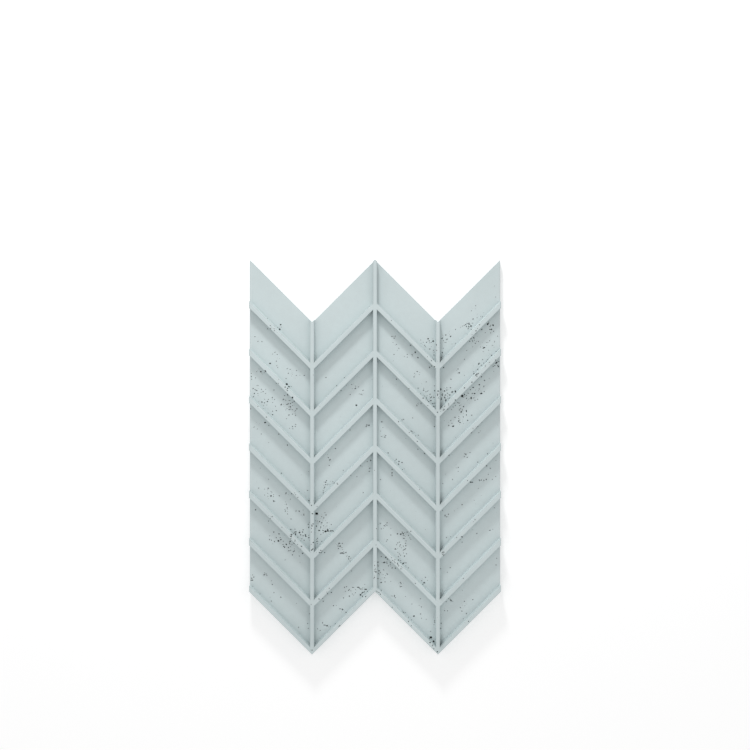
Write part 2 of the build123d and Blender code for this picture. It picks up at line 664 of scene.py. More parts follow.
    (333.5, 605.6, 1.4),
    (336.3, 605.4, 0.9),
    (346.0, 612.3, 1.5, 1.3, 0),
    (311.1, 604.4, 1.1),
    (314.2, 613.5, 1.1),
    (314.2, 617.3, 1.1),
    (309.6, 613.8, 1.1),
    (322.5, 622.9, 1.4, 1.3, 90),
    (307.7, 623.5, 1.4, 1.2, 0),
    (298.6, 627.3, 1.4),
    (326.7, 625.7, 1.5, 2.4, 0),
    (317.5, 628.8, 1.1),
    (320.2, 630.4, 1.2, 1.2, 0),
    (335.4, 624.3, 1.4),
    (330.4, 626.7, 0.9),
    (339.8, 625.8, 1.5),
    (312.1, 650.2, 1.4),
    (419.2, 605.4, 0.9),
    (421.4, 606.9, 1.2),
    (420.6, 614.0, 1.3, 1.2, 90),
    (421.4, 618.3, 0.9),
    (403.4, 612.5, 1.3),
    (408.5, 621.4, 1.4),
    (408.5, 617.9, 0.9),
    (411.4, 619.8, 1.1),
    (411.3, 625.8, 1.1),
    (392.2, 607.3, 1.2),
    (434.6, 622.3, 1.3),
    (441.1, 623.3, 1.3),
    (440.8, 628.3, 1.3, 1.3, 90),
    (430.6, 631.3, 1.3),
    (429.4, 639.2, 1.5),
    (432.6, 645.2, 1.5),
    (435.4, 643.8, 1.6, 1.4, 90),
    (433.8, 648.8, 1.2),
    (437.3, 651.8, 1.6),
    (446.3, 601.7, 1.2),
    (460.3, 607.5, 1.3),
    (461.9, 611.1, 1.3),
    (466.3, 613.5, 1.2),
    (463.3, 618.8, 1.1),
    (468.5, 621.4, 1.4),
    (444.6, 610.7, 1.1),
    (447.5, 610.8, 1.1),
    (418.1, 388.2, 1.4),
    (423.5, 390.2, 1.5),
    (420.5, 393.8, 1.3),
    (423.1, 398.1, 1.5),
    (424.6, 396.0, 1.2),
    (427.3, 400.4, 1.3),
    (430.9, 400.5, 1.5, 1.2, 0),
    (432.9, 403.5, 1.6, 1.3, 0),
    (434.0, 397.5, 1.6, 1.2, 0),
    (434.0, 406.5, 1.6, 1.3, 50),
    (430.2, 394.2, 1.1),
    (434.5, 385.8, 1.2),
    (434.6, 390.8, 1.6, 1.2, 0),
    (440.8, 389.2, 2.1, 2.0, 90),
    (446.9, 387.7, 1.2),
    (450.5, 387.7, 1.4),
    (452.8, 391.6, 1.2, 2.0, 90),
    (444.6, 397.5, 1.5),
    (445.8, 400.6, 1.7, 1.4, 0),
    (441.2, 399.2, 1.6),
    (448.5, 403.5, 1.1),
    (437.5, 412.3, 1.5),
    (455.4, 400.6, 1.7),
    (454.2, 403.1, 1.2),
    (457.7, 402.7, 1.2),
    (464.5, 387.9, 1.6, 1.2, 0),
    (471.9, 382.2, 1.6, 1.6, -40),
    (464.5, 394.4, 1.6),
    (468.2, 393.2, 1.2),
    (470.4, 389.6, 1.3),
    (472.2, 393.5, 1.4),
    (484.5, 380.4, 1.6),
    (484.2, 391.5, 1.3),
    (475.0, 400.2, 1.2),
    (477.7, 399.2, 1.1),
    (461.2, 412.2, 1.6, 1.5, -50),
    (466.5, 411.5, 1.3),
    (462.3, 409.6, 1.1),
    (453.0, 407.0, 1.2),
    (455.4, 405.4, 1.2),
    (451.5, 409.6, 1.1),
    (471.8, 415.2, 1.4, 1.3, -30),
    (467.8, 420.4, 1.5),
    (458.5, 421.2, 1.6, 1.2, 0),
    (455.0, 417.3, 1.5, 3.0, 0),
    (450.8, 420.4, 1.1),
    (451.9, 423.2, 1.1),
    (448.8, 425.4, 1.5, 1.4, -50),
    (463.5, 423.6, 0.8),
    (426.2, 381.9, 1.2),
    (416.9, 405.4, 1.4, 3.0, 80),
    (412.7, 417.9, 1.4),
    (411.2, 431.0, 1.5),
    (415.4, 436.5, 1.2),
    (478.8, 432.7, 1.2, 3.0, 5),
    (471.5, 432.7, 1.5, 1.8, -40),
    (477.7, 426.5, 1.4, 1.6, -40),
    (473.0, 428.5, 1.1),
    (290.8, 539.2, 1.1),
    (308.8, 535.2, 1.1),
    (295.0, 541.5, 1.1),
    (280.4, 537.4, 0.9),
    (326.9, 525.9, 0.9),
    (311.2, 544.4, 0.9),
]

# Groups of small pores: (x, y, half length, half width, turn in degrees, how many, size). The first
# four are in the picture's pixels. The size is a share of the usual radius.
GROUPS = [
    (275.3, 328.5, 8, 4, 45, 14, 0.9),
    (260, 339.5, 4, 4, 0, 3, 0.7),
    (276, 353.5, 5, 3, 90, 6, 0.7),
    (261.5, 372, 7, 3, 30, 12, 0.8),
    (299, 374, 11, 4, 10, 13, 0.8),
    (288, 389, 9, 4, 60, 12, 0.9),
    (258, 393, 8, 7, 0, 16, 0.75),
    (290, 406, 9, 8, 20, 32, 0.85),
    (271, 407, 10, 6, 90, 8, 0.8),
    (257, 429, 6, 5, 45, 5, 0.8),
    (294, 427, 4, 2, -30, 5, 0.8),
    (392.5, 336.3, 4, 1.5, 10, 3, 0.7),
    (398, 343, 8, 3, 80, 4, 0.8),
    (411.5, 354.5, 6, 5, 45, 5, 0.75),
    (427, 342.3, 7, 5, -30, 9, 0.75),
    (435.5, 355, 12, 5, 90, 20, 0.9),
    (446.5, 339, 8, 5, -20, 14, 0.9),
    (468.7, 325.6, 4, 4, 0, 16, 0.9),
    (477, 316.5, 9, 5, 90, 10, 0.8),
    (490.5, 327, 5, 4.5, 0, 8, 0.9),
    (474, 339, 7, 3, 80, 12, 1.0),
    (489, 347, 8, 7, 0, 18, 0.9),
    (484.5, 364, 8, 4, -35, 10, 0.8),
    (497, 364, 6, 3, 60, 5, 0.8),
    (477, 376, 7, 5, 90, 14, 1.0),
    (427, 397.5, 9, 8, 40, 44, 0.85),
    (446, 395, 10, 8, 0, 54, 0.9),
    (443, 408, 7, 4, -35, 10, 1.1),
    (472.5, 393, 12, 5, -20, 18, 0.9),
    (462, 406, 7, 6, 0, 16, 0.85),
    (459, 420.5, 10, 4, -10, 20, 0.95),
    (478.5, 430, 7, 4, -40, 8, 0.75),
    (417.5, 403.5, 5, 1.5, 85, 8, 0.7),
    (416.5, 374, 3, 3, 0, 6, 0.8),
    (384.3, 436, 2.5, 2, 0, 8, 0.9),
    (367.8, 425.6, 3, 1.2, -20, 6, 1.0),
    (353.7, 387, 6, 4, 0, 7, 0.85),
    (362.3, 395.5, 3, 2, -50, 5, 0.9),
    (402, 419, 9, 3, -15, 5, 0.9),
    (412, 433, 6, 3, 45, 8, 0.9),
    (458.7, 372, 3, 3, 0, 6, 0.85),
    (398.5, 461.7, 5, 3, 20, 4, 0.8),
    (392, 474, 3, 1.5, 90, 6, 0.9),
    (465.5, 455, 4, 3, 20, 6, 0.95),
    (457, 469, 3, 2, 90, 3, 0.8),
    (480, 480, 12, 2, -8, 8, 0.7),
    (324.7, 483.6, 5, 2, 80, 9, 1.0),
    (333, 483.6, 5, 2, -15, 8, 0.75),
    (328.7, 458.6, 4, 2, 80, 5, 0.8),
    (370, 466, 6, 2, 90, 4, 1.0),
    (270, 495, 8, 5, 70, 10, 0.9),
    (291, 495, 7, 4, 0, 6, 0.75),
    (285.6, 509.4, 6, 1.5, 85, 9, 0.9),
    (300, 512, 7, 5, 30, 8, 0.9),
    (272, 517, 3, 2, 45, 4, 0.9),
    (309.7, 526, 5, 2.5, 90, 9, 0.95),
    (319, 515.5, 6, 3, 0, 4, 1.0),
    (323.5, 527, 8, 5, 30, 22, 1.05),
    (325, 531, 7, 1.2, 0, 12, 1.1),
    (298.5, 534.4, 10, 5, 10, 30, 0.95),
    (279.5, 538.5, 9, 6, 20, 10, 0.7),
    (291.7, 549, 8, 5, 40, 12, 0.9),
    (314, 544, 6, 4, 90, 14, 1.0),
    (320, 551.5, 3, 2, 0, 4, 0.9),
    (338.6, 544.7, 4, 2.5, 90, 10, 1.0),
    (343.3, 552.8, 4, 2, -15, 7, 0.9),
    (349.3, 558, 4, 2, 60, 8, 1.0),
    (383, 525, 5, 2.5, 0, 10, 0.7),
    (402, 535, 6, 3.5, 0, 12, 1.0),
    (401, 547.3, 7, 6, 90, 22, 0.9),
    (400, 562, 9, 4, 40, 30, 0.95),
    (386.4, 563, 7, 4, 0, 12, 1.0),
    (375.4, 567, 7, 2, 90, 9, 0.85),
    (382, 577.4, 7, 5, 90, 16, 1.0),
    (424, 581, 5, 3, -60, 6, 0.8),
    (401, 583.5, 4, 3, 0, 6, 0.9),
    (352, 591, 8, 5, 0, 10, 0.75),
    (364, 592, 6, 3.5, 70, 14, 1.1),
    (320, 599, 3, 2, -20, 2, 0.8),
    (330.4, 591.2, 3, 2, 0, 4, 0.85),
    (343.3, 609.5, 4, 2.5, 30, 5, 0.9),
    (326, 625.5, 5, 1.2, 5, 8, 0.9),
    (339.5, 625.5, 1.5, 1, 0, 3, 0.9),
    (432, 640.5, 5, 3, 70, 12, 1.0),
    (405, 614, 6, 2, 45, 5, 0.9),
    (451, 600.5, 2.2, 2, 0, 8, 0.95),
    (464, 606.5, 6, 4, 60, 10, 0.65),
    (253, 578.5, 3, 3, 0, 6, 0.85),
    (265, 574.7, 2.5, 1.5, 0, 7, 0.95),
    (446.3, 515.4, 3, 2.5, 0, 6, 0.8),
    (462, 537, 3, 2, 0, 4, 0.9),
    (443, 552.5, 3, 3, 0, 6, 1.0),
    (393, 596.5, 2, 2, 0, 4, 0.9),
    (378.5, 591, 4, 1.5, 45, 8, 0.85),
    (434.5, 620, 8, 1, 90, 4, 0.9),
]

# How large the small pores are
USUAL_RADIUS = 0.9 * MM
RADIUS_SPREAD = 0.4  # of the radius's logarithm
LEAST_RADIUS = 0.34 * MM
LARGEST_RADIUS = 2.3 * MM

# The shape of one pore, in radii
DEPTHS = (0.9, 1.5)  # from its middle down
SUNK = (0.05, 0.4)  # how far its middle lies below the surface
LUMP = 0.42  # how high its lumps are
LUMP_CLOSENESS = 1.3  # the larger, the closer the lumps lie
LUMP_STARTS = 500  # the lumps of a pore come from the noise anywhere up to here
LUMP_ROOM = 1.2  # how far a pore reaches, in half lengths

# A pore gets a ball of few faces under the first radius and one of many over the second
FEW_FACES_UNDER = 0.85 * MM
MANY_FACES_OVER = 1.9 * MM

# Painted shade in the pores, from 0 for none to 1 for the darkest
PORE_SHADE = 0.72  # in the smallest pore
PORE_SHADE_RISE = 0.2  # how much more a pore of the next line's radius has
PORE_SHADE_RISE_RADIUS = 1.5 * MM
PORE_SHADE_SPREAD = 0.13
LEAST_PORE_SHADE = 0.3
FULL_PORE_SHADE_DEPTH = 0.8  # in radii

# Where pores may be, by the z of the surface's normal there
LEVEL = 0.9  # or more on the front, and as much downward on the back
STEEP = 0.2  # or less on the edges
NUDGES = (0, -0.5, 0.5, -1.0, 1.0, -1.5, 1.5)  # pixels up or down, off the flank of a rib
ROUND = (1.0, 0)  # stretch and turn

# The pores of a group
GROUP_SPREAD = 0.55  # of its half length and half width
GROUP_STRETCHES = (1.0, 1.0, 1.2, 1.5, 2.0)
GROUP_TURN_SPREAD = 0.7  # radians

# The thin scatter over the whole front, with hardly any pores near the top left
SCATTER = 170
SCATTER_SIZE = 0.8
SCATTER_STRETCH = 1.2
DENSE_SLOPE = 0.6  # of the line that the dense corner lies above
DENSE_START = 0.22  # where that line crosses the panel's middle
DENSE_SHARE = 0.85  # of the pores are missing there

# Pores on the edges and on the back
EDGE_TRIES = 200
EDGE_SIZE = 1.0
EDGE_STRETCH = 1.2
EDGE_LOW = 2 * MM
EDGE_HIGH = 28 * MM
EDGE_INNER = 0.9  # the lines aim at places in this share of the panel's width and height
BACK_TRIES = 200
BACK_SIZE = 1.35
BACK_STRETCH = 1.3

# How far out the lines start that find a pore's place
CAST_LEVEL = 2.0
CAST_UPRIGHT = 1.0

SPOT_SEED = 100
GROUP_SEED = 500
SCATTER_SEED = 8
HIDDEN_SEED = 11

PASSES = 6
CLEAR = 1.03  # pores cut in one pass stay this many times their reach apart
CELL = 12 * MM

MERGE = 0.001 * MM  # corners of the CAD node's facets that lie this near are one
FLAT_ANGLE = math.radians(0.5)  # facets that turn less than this are one face


def at_picture(x, y):
    """The x and y on the panel's fields that the picture shows at a pixel."""
    return ((x - PICTURE / 2) * PIXEL, CENTRE_Y - (y - PICTURE / 2) * PIXEL)


def ball(subdivisions):
    """The points and faces of a ball of unit radius."""
    bm = bmesh.new()
    bmesh.ops.create_icosphere(bm, subdivisions=subdivisions, radius=1.0)
    points = [v.co.copy() for v in bm.verts]
    faces = [[v.index for v in face.verts] for face in bm.faces]
    bm.free()
    return points, faces


BALLS = {fineness: ball(fineness) for fineness in (1, 2, 3)}


def ball_for(radius):
    """The ball for a pore of this radius, with no more faces than show."""
    if radius < FEW_FACES_UNDER:
        return BALLS[1]
    if radius > MANY_FACES_OVER:
        return BALLS[3]
    return BALLS[2]


class Pore:
    """One air hole: where its mouth is, which way it opens, and its size and shape."""

    def __init__(self, place, normal, radius, stretch, turn, rng):
        self.place = place
        self.normal = normal
        self.radius = radius
        self.stretch = stretch
        self.turn = turn
        self.depth = rng.uniform(*DEPTHS)
        self.sunk = rng.uniform(*SUNK)
        # How dark the painted shade in this pore is, more in larger pores
        pore_shade = rng.gauss(PORE_SHADE + PORE_SHADE_RISE * radius / PORE_SHADE_RISE_RADIUS, PORE_SHADE_SPREAD)
        self.pore_shade = min(1.0, max(LEAST_PORE_SHADE, pore_shade))
        self.lumps_from = rng.uniform(0, LUMP_STARTS)
        self.reach = radius * math.sqrt(stretch) * LUMP_ROOM

    def basis(self):
        """Turns and sizes the unit ball. On the front and the back, turns are measured from +X."""
        across = self.normal.orthogonal().normalized()
        if abs(self.normal.z) > 0.5:
            across = Vector((1, 0, 0))
        along = self.normal.cross(across)
        basis = Matrix((across, along, self.normal)).transposed()
        return basis @ Matrix.Rotation(self.turn, 3, "Z") * self.radius

    def cutter(self):
        """Its cutter, a lumpy ball: the points and the faces."""
        points, faces = ball_for(self.radius)
        basis = self.basis()
        width = 1 / math.sqrt(self.stretch)
        shape = Vector((self.stretch * width, width, self.depth))
        start = Vector((self.lumps_from, 0, 0))
        moved = []
        for point in points:
            lump = 1 + LUMP * noise.noise(point * LUMP_CLOSENESS + start)
            local = Vector((point.x * shape.x, point.y * shape.y, point.z * shape.z)) * lump
            local.z -= self.sunk
            moved.append(self.place + basis @ local)
        return moved, faces


def pore_radius(rng, size):
    radius = USUAL_RADIUS * size * math.exp(rng.gauss(0, RADIUS_SPREAD))
    return min(LARGEST_RADIUS, max(LEAST_RADIUS, radius))


def front_pore(tree, start, x, y, radius, stretch, turn, rng):
    """A pore where the line from start to x, y on the fields meets the front.

    There is none past the edges or on a flank.
    """
    sight = (Vector((x, y, SLAB)) - start).normalized()
    place, normal, _, _ = tree.ray_cast(start, sight)
    if place is None or normal.z < LEVEL:
        return None
    return Pore(place, normal, radius, stretch, turn, rng)


def spot_pores(tree):
    """The pores that stand out, where the camera sees them in the picture."""
    pores = []
    for index, (x, y, radius, *shape) in enumerate(SPOTS):
        rng = random.Random(SPOT_SEED + index)
        stretch, turn = shape or ROUND
        angle = math.radians(-turn)
        for nudge in NUDGES:
            px, py = at_picture(x, y + nudge)
            made = front_pore(tree, EYE, px, py, radius * MM, stretch, angle, rng)
            if made:
                break
        pores.append(made)
    return pores


def group_pores(tree):
    """The small pores beside them, scattered round the middle of each group."""
    pores = []
    for index, (x, y, half_length, half_width, turn, count, size) in enumerate(GROUPS):
        rng = random.Random(GROUP_SEED + index)
        c = math.cos(math.radians(turn))
        s = math.sin(math.radians(turn))
        for _ in range(count):
            along = rng.gauss(0, GROUP_SPREAD) * half_length
            across = rng.gauss(0, GROUP_SPREAD) * half_width
            px, py = at_picture(x + along * c - across * s, y + along * s + across * c)
            stretch = rng.choice(GROUP_STRETCHES)
            angle = math.radians(-turn) + rng.gauss(0, GROUP_TURN_SPREAD)
            radius = pore_radius(rng, size)
            above = Vector((px, py, CAST_UPRIGHT))
            pores.append(front_pore(tree, above, px, py, radius, stretch, angle, rng))
    return pores


def scattered_pores(tree):
    pores = []
    rng = random.Random(SCATTER_SEED)
    for _ in range(SCATTER):
        px = rng.uniform(cad_low.x, cad_high.x)
        py = rng.uniform(cad_low.y, cad_high.y)
        if py - DENSE_SLOPE * px > DENSE_START and rng.random() < DENSE_SHARE:
            continue
        angle = rng.uniform(0, math.pi)
        radius = pore_radius(rng, SCATTER_SIZE)
        above = Vector((px, py, CAST_UPRIGHT))
        pores.append(front_pore(tree, above, px, py, radius, SCATTER_STRETCH, angle, rng))
    return pores


def edge_pores(tree, rng):
    """Pores where level lines from all round meet the panel's edges."""
    pores = []
    for _ in range(EDGE_TRIES):
        angle = rng.uniform(0, 2 * math.pi)
        away = Vector((math.cos(angle), math.sin(angle), 0))
        y = rng.uniform(cad_low.y, cad_high.y) * EDGE_INNER
        z = rng.uniform(EDGE_LOW, EDGE_HIGH)
        x = rng.uniform(cad_low.x, cad_high.x) * EDGE_INNER
        place, normal, _, _ = tree.ray_cast(Vector((x, y, z)) + away * CAST_LEVEL, -away)
        if place is None or abs(normal.z) > STEEP:
            continue
        radius = pore_radius(rng, EDGE_SIZE)
        pores.append(Pore(place, normal, radius, EDGE_STRETCH, rng.uniform(0, math.pi), rng))
    return pores


def back_pores(tree, rng):
    pores = []
    for _ in range(BACK_TRIES):
        px = rng.uniform(cad_low.x, cad_high.x)
        py = rng.uniform(cad_low.y, cad_high.y)
        below = Vector((px, py, -CAST_UPRIGHT))
        place, normal, _, _ = tree.ray_cast(below, Vector((0, 0, 1)))
        if place is None or normal.z > -LEVEL:
            continue
        radius = pore_radius(rng, BACK_SIZE)
        pores.append(Pore(place, normal, radius, BACK_STRETCH, rng.uniform(0, math.pi), rng))
    return pores


def all_pores(tree):
    pores = spot_pores(tree) + group_pores(tree) + scattered_pores(tree)
    rng = random.Random(HIDDEN_SEED)
    pores += edge_pores(tree, rng) + back_pores(tree, rng)
    return [pore for pore in pores if pore]


def passes(pores):
    """The pores in a few lists, so that those in one list don't touch each other.

    A pore that finds no place in any list is left out.
    """
    lists = [[] for _ in range(PASSES)]
    grids = [{} for _ in range(PASSES)]
    for pore in sorted(pores, key=lambda p: -p.reach):
        cell = tuple(math.floor(c / CELL) for c in pore.place)
        for chosen, grid in zip(lists, grids):
            near = (
                other
                for offset in itertools.product((-1, 0, 1), repeat=3)
                for other in grid.get(tuple(c + o for c, o in zip(cell, offset)), ())
            )
            if all((pore.place - p.place).length > CLEAR * (pore.reach + p.reach) for p in near):
                chosen.append(pore)
                grid.setdefault(cell, []).append(pore)
                break
    return lists


def make_cutter(name, pores, first):
    """An object of the pores' cutters. Their faces carry the pores' numbers, from first on."""
    points = []
    faces = []
    numbers = []
    for number, pore in enumerate(pores, first):
        moved, ball_faces = pore.cutter()
        start = len(points)
        points.extend(moved)
        faces.extend([start + corner for corner in face] for face in ball_faces)
        numbers.extend([number] * len(ball_faces))
    mesh = bpy.data.meshes.new(name)
    mesh.from_pydata(points, [], faces)
    mesh.attributes.new("pore", "INT", "FACE").data.foreach_set("value", numbers)
    cutter = bpy.data.objects.new(name, mesh)
    scene.collection.objects.link(cutter)
    return cutter


def cut_pores(panel, lists):
    """Cuts each list of pores into the panel's mesh. Each cut face keeps its pore's number."""
    first = 1
    for index, chosen in enumerate(lists):
        cutter = make_cutter(f"pores_{index}", chosen, first)
        first += len(chosen)
        cut = panel.modifiers.new("cut", "BOOLEAN")
        cut.operation = "DIFFERENCE"
        cut.solver = "MANIFOLD"
        cut.object = cutter
        graph = bpy.context.evaluated_depsgraph_get()
        mesh = bpy.data.meshes.new_from_object(panel.evaluated_get(graph))
        panel.modifiers.remove(cut)
        old = panel.data
        panel.data = mesh
        bpy.data.meshes.remove(old)
        cutter_mesh = cutter.data
        bpy.data.objects.remove(cutter)
        bpy.data.meshes.remove(cutter_mesh)


def mark_pores(mesh, pores):
    """Shades pore walls smooth and writes how dark the painted shade in them makes each face
    corner.

    The faces' numbers start at 1. Faces outside all pores have 0.
    """
    bm = bmesh.new()
    bm.from_mesh(mesh)
    numbers = bm.faces.layers.int["pore"]
    pore_shade = bm.loops.layers.float.new("pore_shade")
    for face in bm.faces:
        number = face[numbers]
        face.smooth = number > 0
        if number == 0:
            continue
        pore = pores[number - 1]
        for corner in face.loops:
            depth = (pore.place - corner.vert.co).dot(pore.normal) / pore.radius
            corner[pore_shade] = pore.pore_shade * min(1.0, max(0.0, depth / FULL_PORE_SHADE_DEPTH))
    bm.to_mesh(mesh)
    bm.free()


def make_panel():
    """The CAD node's shape with its facets joined to flat faces and the pores cut into them."""
    bm = bmesh.new()
    bm.from_mesh(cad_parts[NODE].data)
    bmesh.ops.remove_doubles(bm, verts=bm.verts, dist=MERGE)
    bmesh.ops.dissolve_limit(bm, angle_limit=FLAT_ANGLE, verts=bm.verts, edges=bm.edges)
    flats = BVHTree.FromBMesh(bm)
    mesh = bpy.data.meshes.new("panel")
    bm.to_mesh(mesh)
    bm.free()
    panel = bpy.data.objects.new("cast_panel", mesh)
    scene.collection.objects.link(panel)
    lists = passes(all_pores(flats))
    cut_pores(panel, lists)
    mark_pores(panel.data, [pore for chosen in lists for pore in chosen])
    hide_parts(NODE)
    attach(panel, "root")
    return panel


# The concrete

CONCRETE = linear(200.5, 212.0, 213.0)
# The colour of the painted shade deep in the pores
PORE_SHADE_COLOUR = linear(40, 48, 46)

# How much paler or darker than the middle shade the concrete is
CLOUDS = 0.008  # in broad clouds
BLOTCHES = 0.015  # in small blotches
GRAINS = 0.03  # in single grains of sand and cement

# Where most of a smooth noise lies, and most of one with fine detail
SMOOTH_RANGE = (0.3, 0.7)
FINE_RANGE = (0.25, 0.75)

ROUGHNESS = (0.8, 0.9)  # the least and the most
GLOSS = 0.3
GRAIN_HEIGHT = 0.2 * MM
GRAIN_STRENGTH = 0.25

CORNER_SHADE = 0.1  # how much painted shade darkens the colour where a corner closes off the light
CORNER_SHADE_REACH = 16 * MM
CORNER_SHADE_SAMPLES = 16

# The bevels, told by the z of the surface's normal, and the back
BEVEL_TILT = 0.7
BEVEL_TOLERANCE = 0.2
BACK_TILT = -0.5  # or less
BEVEL_SHADE_FOOT = 0.09  # how much painted shade darkens the bevels at the foot of the pattern
BEVEL_SHADE_TOP = 0.26  # and at its top, where more of the lamp's light falls on them

# A painted highlight in a band along the upper bevel of each board rib, the side that faces the
# lamp.
# COLUMN and UPRIGHT_CLEAR are measured along x and the other lengths along y, where a width
# square across a board counts sqrt(2) times
BEVEL_HIGHLIGHT = 0.042  # how much paler its middle is
BEVEL_HIGHLIGHT_REACH = 6 * MM  # from its middle to where it ends
BEVEL_HIGHLIGHT_DROP = 1.2 * MM  # from the rib's upper bevel down to its middle
ROW_PITCH = 80 * MM * math.sqrt(2)
RIB_DROP = 11 * MM * math.sqrt(2)
JOINT_DROP = 2 * MM * math.sqrt(2)  # from the top edge to where the first row is counted from
COLUMN = 150 * MM
UPRIGHT_CLEAR = 7 * MM  # from the middle of an upright rib to the band's end

# Broad stains: (x, y, half width, half height, shade), the first four in the picture's pixels. The
# shade is how much paler the stain's middle is, or how much darker if it is below 0
STAINS = [
    (262, 262, 45, 50, -0.045),
    (375, 270, 60, 50, -0.048),
    (488, 268, 50, 50, -0.050),
    (432, 415, 42, 120, -0.052),
    (484, 375, 50, 110, -0.020),
    (268, 372, 40, 70, 0.030),
    (345, 450, 60, 80, 0.036),
    (290, 545, 50, 75, -0.045),
    (306, 630, 35, 30, -0.035),
    (420, 612, 35, 60, 0.055),
    (476, 560, 45, 75, 0.022),
]

# Painted shadow in the sharp corners to the right of two uprights, one in each row: (x of the
# corners, shade)
SHADOWED_CORNERS = [(315.5, -0.09), (441.5, -0.2)]
SHARP_CORNER_Y = 358.5  # of the first row's corners
SHARP_CORNER_WIDTH = 4  # half of the painted shadow's width, in pixels
SHARP_CORNER_HEIGHT = 9  # and half of its height
ROWS = 7
ROW = 47.19  # pixels from one row to the next


def stain_and_corner_shadow_spots():
    """The broad stain patches and the painted shadows in the sharp corners, all in one form."""
    found = list(STAINS)
    for x, shade in SHADOWED_CORNERS:
        for row in range(ROWS):
            y = SHARP_CORNER_Y + row * ROW
            found.append((x, y, SHARP_CORNER_WIDTH, SHARP_CORNER_HEIGHT, shade))
    return found


def stains_and_corner_shadows(tree, where):
    """How much paler or darker the broad stain patches and the painted corner shadows make each
    place.
    """
    total = 0.0
    for x, y, half_width, half_height, shade in stain_and_corner_shadow_spots():
        px, py = at_picture(x, y)
        away = tree.vector("ADD", where, (-px, -py, 0))[0]
        scale = (1 / (half_width * PIXEL), 1 / (half_height * PIXEL), 0)
        away = tree.vector("MULTIPLY", away, scale)[0]
        away = tree.vector("LENGTH", away)["Value"]
        total = tree.math("ADD", total, tree.remap(away, 0.0, 1.0, shade, 0.0))
    return total


def bevel_highlights(tree, where):
    """How much paler the painted highlight makes each place along a board rib's upper bevel,
    between the uprights.
    """
    x, y, _ = tree.split(where)
    across = tree.math("PINGPONG", tree.math("ADD", x, -cad_low.x), COLUMN)
    peak = tree.math("SUBTRACT", cad_high.y - JOINT_DROP, across)
    drop = tree.math("MODULO", tree.math("SUBTRACT", peak, y), ROW_PITCH)
    away = tree.math("ABSOLUTE", tree.math("SUBTRACT", drop, ROW_PITCH - RIB_DROP + BEVEL_HIGHLIGHT_DROP))
    between = tree.math("COMPARE", across, COLUMN / 2, COLUMN / 2 - UPRIGHT_CLEAR)
    return tree.math("MULTIPLY", between, tree.remap(away, 0.0, BEVEL_HIGHLIGHT_REACH, BEVEL_HIGHLIGHT, 0.0))


def shaded_bevels(tree, where, tilt):
    """How much painted shade darkens each place on the bevels, more from the foot of the pattern to
    its top.
    """
    _, y, _ = tree.split(where)
    amount = tree.remap(y, cad_low.y, cad_high.y, BEVEL_SHADE_FOOT, BEVEL_SHADE_TOP, smooth=False)
    return tree.math("MULTIPLY", tree.math("COMPARE", tilt, BEVEL_TILT, BEVEL_TOLERANCE), amount)


def corner_shade(tree):
    """The share of the colour that the painted corner shade leaves, the least in the corners by the
    ribs' feet.
    """
    inputs = {"Distance": CORNER_SHADE_REACH}
    sheltered = tree.node("ShaderNodeAmbientOcclusion", inputs, samples=CORNER_SHADE_SAMPLES)
    return tree.remap(sheltered.outputs["AO"], 0.0, 1.0, 1 - CORNER_SHADE, 1.0, smooth=False)


def concrete():
    material = bpy.data.materials.new("cast_concrete")
    tree = Tree(material)
    shader = tree.nodes["Principled BSDF"]
    where = tree.node("ShaderNodeTexCoord").outputs["Object"]
    normal = tree.node("ShaderNodeNewGeometry").outputs["True Normal"]
    tilt = tree.split(normal)["Z"]

    # Each noise has its scale for each metre. The blotches are taken from elsewhere in the noise
    clouds = tree.noise(where, scale=9.0, detail=2.0, roughness=0.5)
    elsewhere = tree.vector("ADD", where, (3, 1, 5))[0]
    blotches = tree.noise(elsewhere, scale=60.0, detail=4.0, roughness=0.6)
    grain = tree.noise(where, scale=900.0, detail=3.0, roughness=0.7)

    # The light that each place gives back, as a share of the middle shade. The back has none of the
    # stain patches, painted corner shadows or painted highlights
    stains_and_painted_light = tree.math("ADD", stains_and_corner_shadows(tree, where), bevel_highlights(tree, where))
    stains_and_painted_light = tree.math("MULTIPLY", stains_and_painted_light, tree.math("GREATER_THAN", tilt, BACK_TILT))
    cloudy = tree.remap(clouds, *SMOOTH_RANGE, 1 - CLOUDS, 1 + CLOUDS)
    light = tree.math("ADD", cloudy, stains_and_painted_light)
    for pattern, amount in ((blotches, BLOTCHES), (grain, GRAINS)):
        factor = tree.remap(pattern, *FINE_RANGE, 1 - amount, 1 + amount)
        light = tree.math("MULTIPLY", light, factor)
    # Painted shade in the corners by the ribs' feet
    light = tree.math("MULTIPLY", light, corner_shade(tree))
    # Painted shade on the bevels, against the lamp's light on them
    kept = tree.math("SUBTRACT", 1.0, shaded_bevels(tree, where, tilt))
    light = tree.math("MULTIPLY", light, kept)
    grey = tree.node("ShaderNodeCombineColor", {0: light, 1: light, 2: light}).outputs[0]
    body = tree.mix(1.0, CONCRETE, grey, "MULTIPLY")

    # Pores: painted shade darkens them from the rim down
    pore_shade = tree.node("ShaderNodeAttribute", attribute_name="pore_shade").outputs["Fac"]
    tree.put(shader.inputs["Base Color"], tree.mix(pore_shade, body, PORE_SHADE_COLOUR))

    tree.put(shader.inputs["Roughness"], tree.remap(blotches, *SMOOTH_RANGE, *ROUGHNESS))
    shader.inputs["Specular IOR Level"].default_value = GLOSS
    relief = {"Strength": GRAIN_STRENGTH, "Distance": GRAIN_HEIGHT, "Height": grain}
    tree.put(shader.inputs["Normal"], tree.node("ShaderNodeBump", relief).outputs[0])
    return material


panel = make_panel()
panel.data.materials.clear()
panel.data.materials.append(concrete())


# The floor, which the camera sees as white apart from the shadow on it

WHITE = (1, 1, 1, 1)
FLOOR_HALF = 12.0  # from its middle to its sides
FLOOR_COLOUR = (0.88, 0.88, 0.88, 1)
FLOOR_LIFT = 0.24  # its glow in the rays in which it shows


